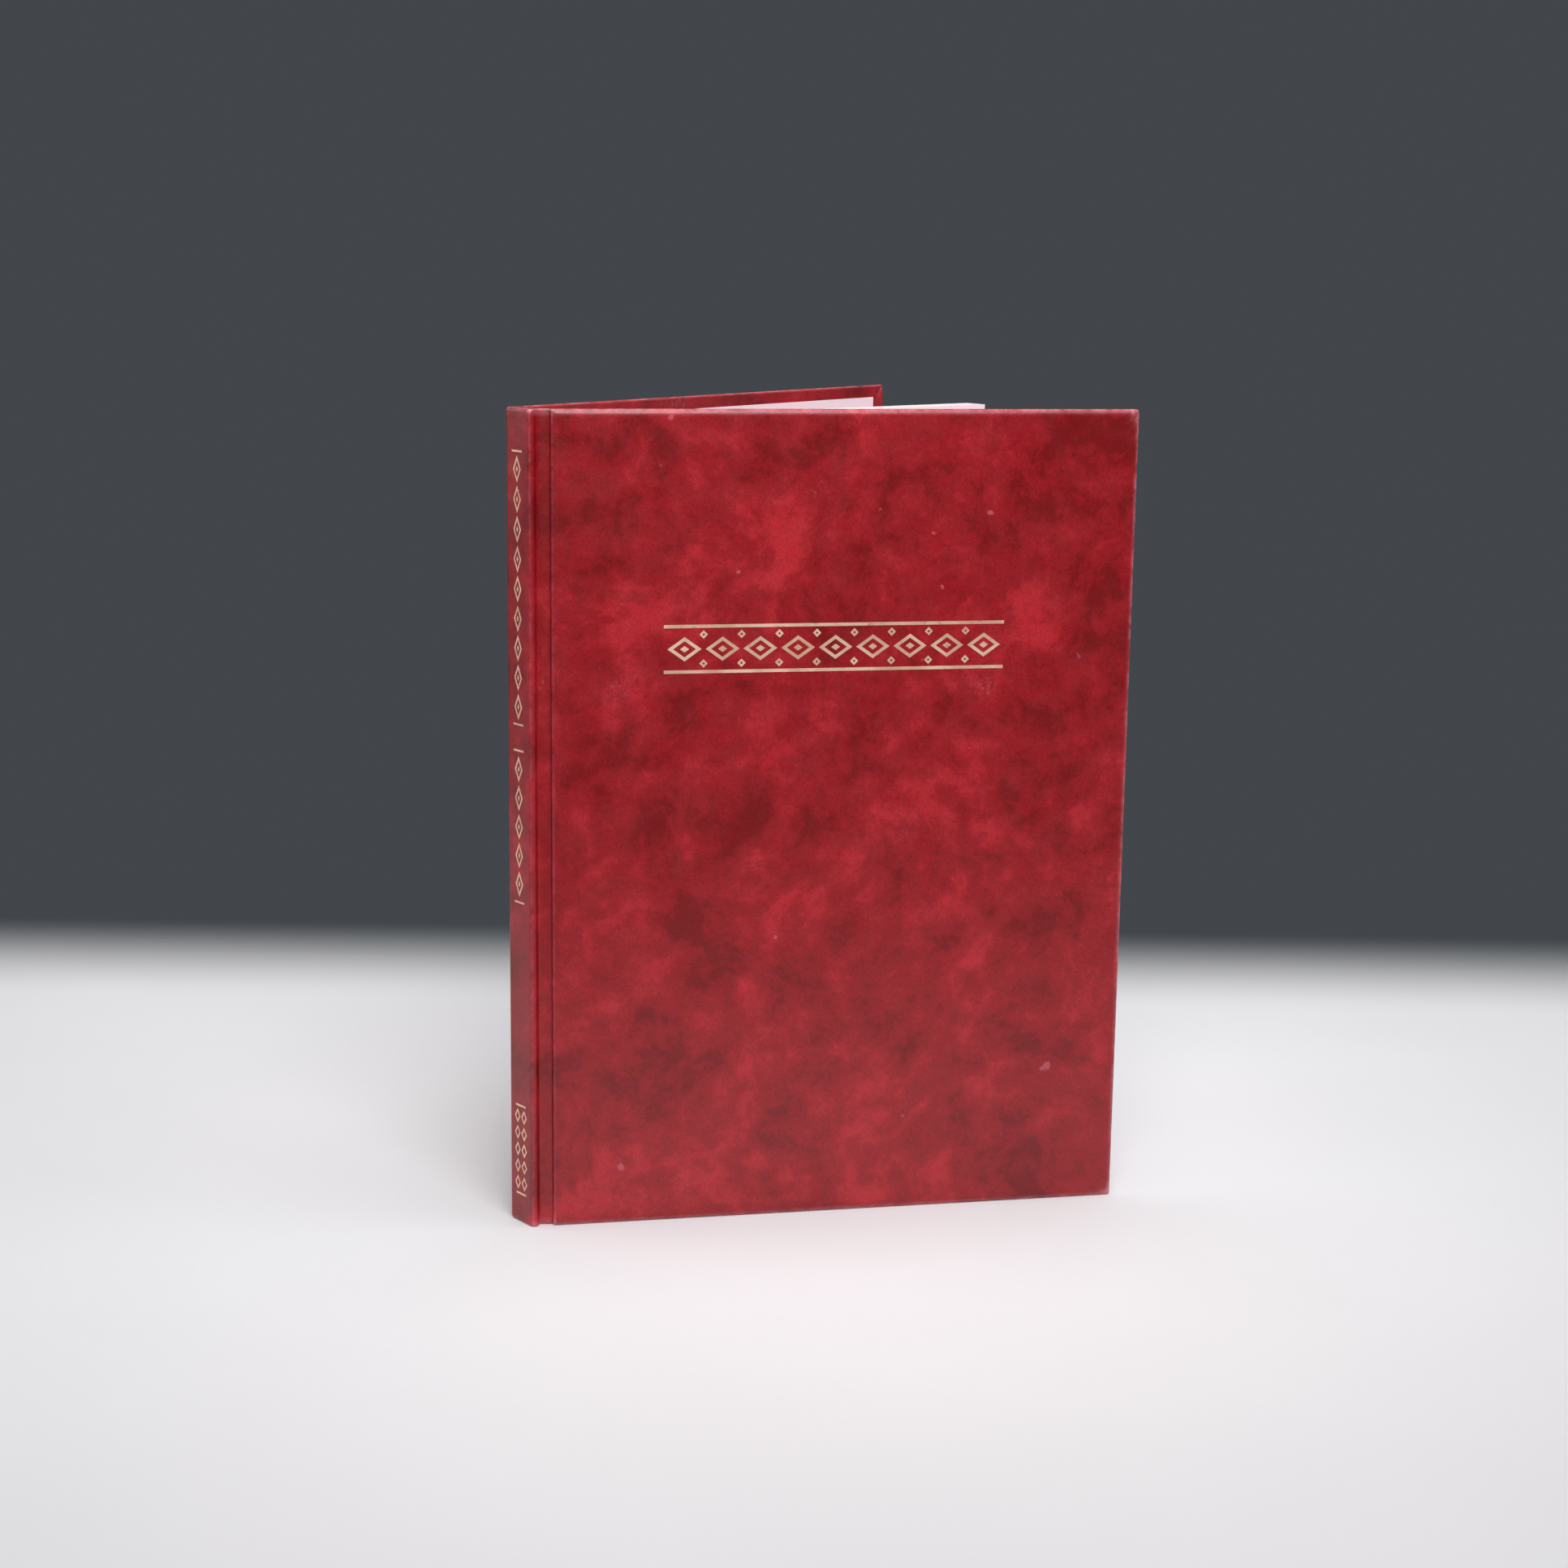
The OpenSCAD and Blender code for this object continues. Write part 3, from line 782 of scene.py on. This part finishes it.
def flyleaf(cover):
    """The endpaper's free half, lying on the pages, with a slight lift towards the fore-edge."""
    side = COVERS[cover][0]
    wave_start = 0.8 if side > 0 else 2.1
    heights = spaced(PAGE_Z0, PAGE_Z1, 24)
    front, back = [], []
    for x in spaced(BLOCK_X0, BLOCK_X1 - 0.2, 28):
        swell = 0.11 * step(60, BLOCK_X1, x)
        lift = [0.012 + swell * (0.5 + 0.5 * math.sin(0.035 * z + wave_start)) for z in heights]
        front.append([(x, side * (HALF_BLOCK + PAPER_T + rise), z) for rise, z in zip(lift, heights)])
        back.append([(x, side * (HALF_BLOCK + rise), z) for rise, z in zip(lift, heights)])
    piece = make_piece(f"{cover}_flyleaf", *sheet_between(front, back), ENDPAPER)
    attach(piece, "book_block")
    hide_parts(f"{cover}_endpaper")


# Mull
def upright_mull(line):
    """Points and faces of mull that stands on a line in plan."""
    heights = spaced(MULL_Z0, MULL_Z1, 10)
    front = [[(p.x, p.y, z) for z in heights] for p in beside(line, MULL_T / 2)]
    back = [[(p.x, p.y, z) for z in heights] for p in beside(line, -MULL_T / 2)]
    return sheet_between(front, back)


def mull_behind_pages():
    """Mull glued to the backs of the sections, and round onto the shoulders."""
    x, y = MULL_X0 + MULL_T / 2, HALF_BLOCK + MULL_LEVELS[0]
    cut = 0.3
    half = [(x, y - cut), (x + cut, y), (PIVOT_X, y)]
    line = [(px, -py) for px, py in reversed(half)] + [(x, 0)] + half
    piece = make_piece("mull_behind_pages", *upright_mull([Vector(p) for p in line]), GAUZE)
    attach(piece, "book_block")
    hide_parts("spine_mull")


def mull_joint(cover):
    """Mull across the joint, up to the flap on the board."""
    side = COVERS[cover][0]
    line = hinge_line(cover, MULL_LEVELS)
    line.append(Vector(beside_block(cover, BOARD_U0 + 0.05, BOARD_V - MULL_T / 2)))
    line = [Vector((p.x, side * p.y)) for p in line]
    piece = make_piece(f"{cover}_mull_joint", *upright_mull(line), GAUZE)
    bend_with(piece)


# Geometry Nodes
class Growth(Nodes):
    """A geometry tree with named inputs, which grows a piece from a small template."""

    def __init__(self, name, whole, real):
        super().__init__(bpy.data.node_groups.new(name, "GeometryNodeTree"))
        inputs = [("Geometry", "Geometry"), ("Finish", "Material")]
        inputs += [(label, "Int") for label in whole] + [(label, "Float") for label in real]
        for label, kind in inputs:
            self.tree.interface.new_socket(label, in_out="INPUT", socket_type="NodeSocket" + kind)
        self.tree.interface.new_socket("Geometry", in_out="OUTPUT", socket_type="NodeSocketGeometry")
        self.given = self.add("NodeGroupInput").outputs
        self.end = self.add("NodeGroupOutput").inputs[0]

    def make(self, kind, inputs=None, **settings):
        return self.add("GeometryNode" + kind, inputs, **settings).outputs[0]

    def stored(self, geometry, name, value):
        inputs = {"Geometry": geometry, "Name": name, "Value": value}
        return self.make("StoreNamedAttribute", inputs, data_type="FLOAT", domain="POINT")

    def named(self, name):
        return self.make("InputNamedAttribute", {"Name": name}, data_type="FLOAT")

    def chance(self, low, high, seed):
        inputs = {"Seed": seed, 2: low, 3: high}
        return self.add("FunctionNodeRandomValue", inputs, data_type="FLOAT").outputs[1]

    def centred_row(self, axis, count, pitch):
        """Points in a row along an axis, with the origin in their middle."""
        first = self.times(self.times(self.minus(count, 1.0), pitch), -0.5)
        start, offset = self.vector({axis: first}), self.vector({axis: pitch})
        return self.make("MeshLine", {"Count": count, "Start Location": start, "Offset": offset})

    def copies(self, points, shape):
        """The shape at each point, as a real mesh."""
        copies = self.make("InstanceOnPoints", {"Points": points, "Instance": shape})
        return self.make("RealizeInstances", {"Geometry": copies})

    def thickened(self, surface, thickness):
        """A closed sheet with the surface as one of its faces."""
        back = self.make("FlipFaces", {"Mesh": surface})
        inputs = {"Mesh": surface, "Offset Scale": thickness, "Individual": False}
        front = self.make("ExtrudeMesh", inputs, mode="FACES")
        both = self.joined(front, back)
        return self.make("MergeByDistance", {"Geometry": both, "Distance": 0.000001})

    def joined(self, *parts):
        node = self.add("GeometryNodeJoinGeometry")
        for part in parts:
            self.link(part, node.inputs[0])
        return node.outputs[0]

    def ended(self, geometry):
        geometry = self.make("RealizeInstances", {"Geometry": geometry})
        finish = self.given["Finish"]
        self.link(self.make("SetMaterial", {"Geometry": geometry, "Material": finish}), self.end)
        return self.tree


def grow(name, tree, values, points, edges=(), faces=()):
    """A plain mesh grown by a geometry tree from a small template in metres."""
    mesh = bpy.data.meshes.new(name + "_template")
    mesh.from_pydata(points, edges, faces)
    seedling = show(name + "_template", mesh)
    maker = seedling.modifiers.new("grow", "NODES")
    maker.node_group = tree
    for item in tree.interface.items_tree:
        if item.in_out == "INPUT" and item.name in values:
            maker[item.identifier] = values[item.name]
    depsgraph = bpy.context.evaluated_depsgraph_get()
    grown_mesh = bpy.data.meshes.new_from_object(
        seedling.evaluated_get(depsgraph), preserve_all_data_layers=True, depsgraph=depsgraph
    )
    grown_mesh.name = name
    bpy.data.objects.remove(seedling)
    return show(name, grown_mesh)


def folded_sheets_tree():
    """Sheets folded round each other in sections, from one flat U-shaped line of unit radius."""
    real = ("Block thickness", "Width", "Height", "Sheet thickness", "Unevenness")
    n = Growth("folded_sheets", ("Sections", "Sheets", "Seed"), real)
    given = n.given
    seed, uneven, sheet_t = given["Seed"], given["Unevenness"], given["Sheet thickness"]
    spots = n.make("MeshLine", {"Count": n.times(given["Sections"], given["Sheets"])})
    index = n.make("InputIndex")
    section = n.calc("FLOOR", n.over(n.plus(index, 0.5), given["Sheets"]))
    sheet = n.minus(index, n.times(section, given["Sheets"]))
    section_t = n.over(given["Block thickness"], given["Sections"])
    centre = n.minus(n.times(n.plus(section, 0.5), section_t), n.times(given["Block thickness"], 0.5))
    share = n.over(n.plus(sheet, 0.5), given["Sheets"])
    radius = n.minus(n.times(share, n.times(section_t, 0.5)), n.times(sheet_t, 0.5))
    spots = n.stored(spots, "fold_radius", radius)
    spots = n.stored(spots, "fold_centre", centre)
    spots = n.stored(spots, "reach_change", n.chance(-1.0, 0.35, seed))
    spots = n.stored(spots, "height_change", n.chance(-1.0, 1.0, n.plus(seed, 7.0)))
    spots = n.stored(spots, "leaf_tone", n.chance(0.0, 1.0, n.plus(seed, 13.0)))
    spots = n.make("SetPosition", {"Geometry": spots, "Position": (0.0, 0.0, 0.0)})
    lines = n.copies(spots, given["Geometry"])

    place = n.parts(n.make("InputPosition"))
    radius, shorter = n.named("fold_radius"), n.calc("ABSOLUTE", n.named("height_change"))
    width = n.plus(given["Width"], n.times(n.named("reach_change"), uneven))
    at_fold = n.times(n.calc("MINIMUM", place["X"], 1.0), radius)
    along = n.calc("MAXIMUM", n.minus(place["X"], 1.0), 0.0)
    x = n.plus(at_fold, n.times(along, n.minus(width, radius)))
    y = n.plus(n.times(place["Y"], radius), n.named("fold_centre"))
    z = n.times(shorter, n.times(uneven, 0.5))
    lines = n.make("SetPosition", {"Geometry": lines, "Position": n.vector({"X": x, "Y": y, "Z": z})})
    rise = n.minus(given["Height"], n.times(shorter, uneven))
    upright = {"Mesh": lines, "Offset": n.vector({"Z": 1.0}), "Offset Scale": rise}
    return n.ended(n.thickened(n.make("ExtrudeMesh", upright, mode="EDGES"), sheet_t))


def folded_line():
    """A flat U of unit radius: x runs from 0 at the fold to 1, and from there to 2 at the fore-edge."""
    arms = [2.0, 1.97, 1.9, 1.75, 1.5, 1.25, 1.08]
    points = [(x, 1.0, 0.0) for x in arms]
    for a in spaced(math.pi / 2, math.pi * 3 / 2, 8):
        points.append((1 + math.cos(a), math.sin(a), 0.0))
    points += [(x, -1.0, 0.0) for x in reversed(arms)]
    return points, [(i, i + 1) for i in range(len(points) - 1)]


def text_leaves():
    """The sewn sections, each of a few folded sheets."""
    values = {
        "Sections": SECTIONS,
        "Sheets": SHEETS,
        "Block thickness": 2 * HALF_BLOCK * MM,
        "Width": (BLOCK_X1 - BLOCK_X0) * MM,
        "Height": (PAGE_Z1 - PAGE_Z0) * MM,
        "Sheet thickness": SHEET_T * MM,
        "Unevenness": 0.16 * MM,
        "Seed": 5,
        "Finish": LEAF_PAPER,
    }
    piece = grow("text_leaves", folded_sheets_tree(), values, *folded_line())
    piece.data.transform(Matrix.Translation((BLOCK_X0 * MM, 0, PAGE_Z0 * MM)))
    shade(piece.data)
    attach(piece, "book_block")
    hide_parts("text_block")


def wrapped_band_tree():
    """Turns of thread side by side round a cord, in stripes of two tones."""
    n = Growth("wrapped_band", ("Turns", "Turns in a stripe"), ("Length", "Cord radius", "Thread radius"))
    given = n.given
    spots = n.centred_row("Y", given["Turns"], n.over(given["Length"], given["Turns"]))
    stripe = n.over(n.plus(n.make("InputIndex"), 0.5), given["Turns in a stripe"])
    tone = n.calc("MODULO", n.calc("FLOOR", stripe), 2.0)
    spots = n.stored(spots, "thread_tone", tone)
    ring = n.make("CurvePrimitiveCircle", {"Resolution": 20, "Radius": given["Cord radius"]})
    thread = n.make("CurvePrimitiveCircle", {"Resolution": 6, "Radius": given["Thread radius"]})
    turn = n.make("CurveToMesh", {"Curve": ring, "Profile Curve": thread})
    upright = n.make("Transform", {"Geometry": turn, "Rotation": (math.pi / 2, 0, 0)})
    return n.ended(n.joined(given["Geometry"], n.copies(spots, upright)))


def end_band(name, node, upwards, tree):
    """A cord wrapped in thread on the edge of the pages, on a tape glued behind them."""
    core_r, thread_r = 0.58, 0.16
    angles = [math.radians(18 * k) for k in range(20)]
    ends = (-HALF_BLOCK + 0.05, HALF_BLOCK - 0.05)
    points, faces = loft([[(core_r * math.cos(a), y, core_r * math.sin(a)) for a in angles] for y in ends])
    base = len(points)
    for x in (-BEAD_R + 0.01, -BEAD_R + MULL_T - 0.01):
        for y in (-HALF_BLOCK, HALF_BLOCK):
            points += [(x, y, z) for z in (-BAND_H - BEAD_R, -0.1)]
    box = ((0, 1, 3, 2), (4, 6, 7, 5), (0, 4, 5, 1), (2, 3, 7, 6), (0, 2, 6, 4), (1, 5, 7, 3))
    faces += [tuple(base + k for k in side) for side in box]
    values = {
        "Turns": 27,
        "Length": 2 * HALF_BLOCK * MM,
        "Cord radius": core_r * MM,
        "Thread radius": thread_r * MM,
        "Turns in a stripe": 3,
        "Finish": BAND_THREAD,
    }
    piece = grow(name, tree, values, [[c * MM for c in p] for p in points], faces=faces)
    z = PAGE_Z1 + BEAD_R if upwards else PAGE_Z0 - BEAD_R
    place = Matrix.Translation(((MULL_X0 + BEAD_R) * MM, 0, z * MM))
    shell = bmesh.new()
    shell.from_mesh(piece.data)
    shell.transform(place @ Matrix.Diagonal((1, 1, 1 if upwards else -1, 1)))
    bmesh.ops.recalc_face_normals(shell, faces=shell.faces)
    shell.to_mesh(piece.data)
    shell.free()
    shade(piece.data)
    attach(piece, "book_block")
    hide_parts(node)


def foil_row_tree():
    """A row of one stamped shape, as thick as foil."""
    n = Growth("foil_row", ("Count",), ("Pitch", "Foil thickness"))
    given = n.given
    shapes = n.copies(n.centred_row("X", given["Count"], given["Pitch"]), given["Geometry"])
    return n.ended(n.thickened(shapes, given["Foil thickness"]))


def lozenge(half_l, half_w, line, dot):
    """Points and faces of an open lozenge, with a small solid one in its middle."""
    slant = math.hypot(half_l, half_w)
    inner_l, inner_w = half_l - line * slant / half_w, half_w - line * slant / half_l
    points, faces = [], []
    for i in range(4):
        a = math.radians(90 * i)
        j = (i + 1) % 4
        points += [(x * math.cos(a), y * math.sin(a)) for x, y in ((half_l, half_w), (inner_l, inner_w))]
        faces.append((2 * i, 2 * j, 2 * j + 1, 2 * i + 1))
    if dot:
        long = dot * half_l / half_w
        points += [(long, 0), (0, dot), (-long, 0), (0, -dot)]
        faces.append((8, 9, 10, 11))
    return points, faces


def oblong(half_l, half_w):
    return [(-half_l, -half_w), (half_l, -half_w), (half_l, half_w), (-half_l, half_w)], [(0, 1, 2, 3)]


def stamped(name, shapes, tree, axes, origin):
    """One foil piece from rows of shapes: each is a template, a count, a pitch and its middle."""
    joined = bmesh.new()
    for points, faces, count, pitch, x, y in shapes:
        template = [(px * MM, py * MM, 0) for px, py in points]
        values = {"Count": count, "Pitch": pitch * MM, "Foil thickness": FOIL_T * MM, "Finish": GOLD_FOIL}
        part = grow(name + "_row", tree, values, template, faces=faces)
        part.data.transform(Matrix.Translation((x * MM, y * MM, 0)))
        joined.from_mesh(part.data)
        bpy.data.objects.remove(part)
    place = Matrix(axes).transposed().to_4x4()
    place.translation = Vector(origin) * MM
    joined.transform(place)
    bmesh.ops.recalc_face_normals(joined, faces=joined.faces)
    mesh = bpy.data.meshes.new(name)
    joined.to_mesh(mesh)
    joined.free()
    mesh.materials.append(GOLD_FOIL)
    return show(name, mesh)


def front_foil(tree):
    """Generic ornament: a row of open lozenges between two rules, with small ones in the gaps."""
    pitch = 11.6
    small = lozenge(1.3, 1.3, 0.62, 0)
    shapes = [(*lozenge(5.2, 3.7, 1.0, 1.0), 9, pitch, 0, 0)]
    shapes += [(*small, 8, pitch, 0, y) for y in (4.4, -4.4)]
    shapes += [(*oblong(52.7, 0.5), 1, 1.0, 0, y) for y in (6.9, -6.9)]
    a = math.radians(COVERS["front"][1])
    axes = ((math.cos(a), -math.sin(a), 0), (0, 0, 1), (-math.sin(a), -math.cos(a), 0))
    origin = (*on_cover("front", ORNAMENT_U, FACE_V + FOIL_LIFT), ORNAMENT_Z)
    piece = stamped("front_foil_ornament", shapes, tree, axes, origin)
    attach(piece, "front_cover")


def spine_foil(tree):
    """Generic ornament: three runs of lozenges down the spine panel, each closed by rules."""
    large = lozenge(4.0, 2.0, 0.6, 0.5)
    small = lozenge(2.3, 1.5, 0.5, 0)
    shapes = [(*large, 9, 8.9, 198.5, 0), (*large, 5, 8.9, 126.1, 0)]
    shapes += [(*small, 5, 5.4, 23.6, y) for y in (1.75, -1.75)]
    shapes += [(*oblong(0.3, 2.6), 1, 1.0, z, 0) for z in (157.6, 239.4, 102.6, 149.6, 9.3, 37.9)]
    axes = ((0, 0, 1), (0, 1, 0), (-1, 0, 0))
    piece = stamped("spine_foil_ornament", shapes, tree, axes, (SPINE_X0 - FOIL_LIFT, 0.0, 0))
    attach(piece, "book_block")


# The CAD nodes that stay keep their form and take a finish
def dress_nodes():
    kept = {
        "spine_lining": KRAFT,
        "spine_strip": GREYBOARD,
        "front_board": GREYBOARD,
        "back_board": GREYBOARD,
        "front_mull_flap": GAUZE,
        "back_mull_flap": GAUZE,
    }
    for name, finish in kept.items():
        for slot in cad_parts[name].material_slots:
            slot.material = finish


# Stage
def pale_floor():
    """A pale floor round the book that fades out into the plain background."""
    n = Finish("pale_floor")
    turned = {"Vector": n.where, "Rotation": (0, 0, math.radians(CAMERA_TURN))}
    parts = n.parts(n.add("ShaderNodeMapping", turned).outputs[0])
    across, along = (
        n.calc("POWER", n.calc("ABSOLUTE", n.over(parts[axis], reach)), 4.0)
        for axis, reach in (("X", 1.0), ("Y", 0.30))
    )
    faded = n.slope(n.calc("POWER", n.plus(across, along), 0.25), 0.82, 1.25)
    cloud = n.slope(n.noise(6.0, 3.0), 0.3, 0.7)
    n.link(n.blend(cloud, (0.82, 0.815, 0.835), (0.84, 0.835, 0.855)), n.shader.inputs["Base Color"])
    n.shader.inputs["Roughness"].default_value = 0.75
    n.shader.inputs["Specular IOR Level"].default_value = 0.2
    clear = n.add("ShaderNodeBsdfTransparent").outputs[0]
    mixed = n.add("ShaderNodeMixShader", {0: faded, 1: n.shader.outputs["BSDF"], 2: clear})
    n.link(mixed.outputs[0], n.surface)
    mesh = bpy.data.meshes.new("floor")
    corners, faces = oblong(2.5, 2.5)
    mesh.from_pydata([(x, y, 0) for x, y in corners], [], faces)
    mesh.materials.append(n.material)
    mesh.transform(Matrix.Translation((0.05, 0, -0.00005)))
    floor = show("floor", mesh)


def soft_lamp(name, place, target, size, power, spread=180):
    lamp = bpy.data.lights.new(name, "AREA")
    lamp.shape = "SQUARE"
    lamp.size = size
    lamp.energy = power
    lamp.spread = math.radians(spread)
    holder = show(name, lamp)
    holder.location = place
    holder.rotation_mode = "QUATERNION"
    holder.rotation_quaternion = (Vector(target) - Vector(place)).to_track_quat("-Z", "Y")


def light_and_background():
    soft_lamp("key", (-1.1, -1.2, 0.85), (0.08, -0.02, 0.12), 0.8, 5.9)
    soft_lamp("overhead", (0.05, -0.1, 1.5), (0.08, 0.0, 0.15), 0.8, 9.8)
    soft_lamp("near_top", (-0.12, -0.43, 0.64), (0.08, -0.05, 0.24), 0.3, 0.44, spread=64)
    soft_lamp("spine_side", (-0.95, 1.0, 0.5), (0.0, 0.0, 0.15), 0.6, 3)
    soft_lamp("fill", (1.1, -0.7, 0.8), (0.08, -0.02, 0.12), 0.9, 3)
    world = bpy.data.worlds.new("studio")
    bpy.context.scene.world = world
    world.use_nodes = True
    n = Nodes(world.node_tree)
    n.tree.nodes.clear()
    glow = n.add("ShaderNodeBackground", {"Color": (1, 1, 1, 1), "Strength": 0.26}).outputs[0]
    behind = n.add("ShaderNodeBackground", {"Color": (0.055, 0.062, 0.070, 1)}).outputs[0]
    path = n.add("ShaderNodeLightPath").outputs
    seen = n.calc("MAXIMUM", path["Is Camera Ray"], path["Is Glossy Ray"])
    seen = n.calc("MAXIMUM", seen, path["Is Transmission Ray"])
    mixed = n.add("ShaderNodeMixShader", {0: seen, 1: glow, 2: behind}).outputs[0]
    n.link(mixed, n.add("ShaderNodeOutputWorld").inputs["Surface"])
    bpy.context.scene.view_settings.view_transform = "Standard"


set_camera()
spine_panel_cloth()
mull_behind_pages()
for cover in COVERS:
    covered_board(cover)
    joint_cloth(cover)
    pastedown(cover)
    endpaper_joint(cover)
    flyleaf(cover)
    mull_joint(cover)
text_leaves()
BAND_TREE = wrapped_band_tree()
end_band("head_band_threads", "head_band", True, BAND_TREE)
end_band("tail_band_threads", "tail_band", False, BAND_TREE)
FOIL_TREE = foil_row_tree()
front_foil(FOIL_TREE)
spine_foil(FOIL_TREE)
dress_nodes()
pale_floor()
light_and_background()
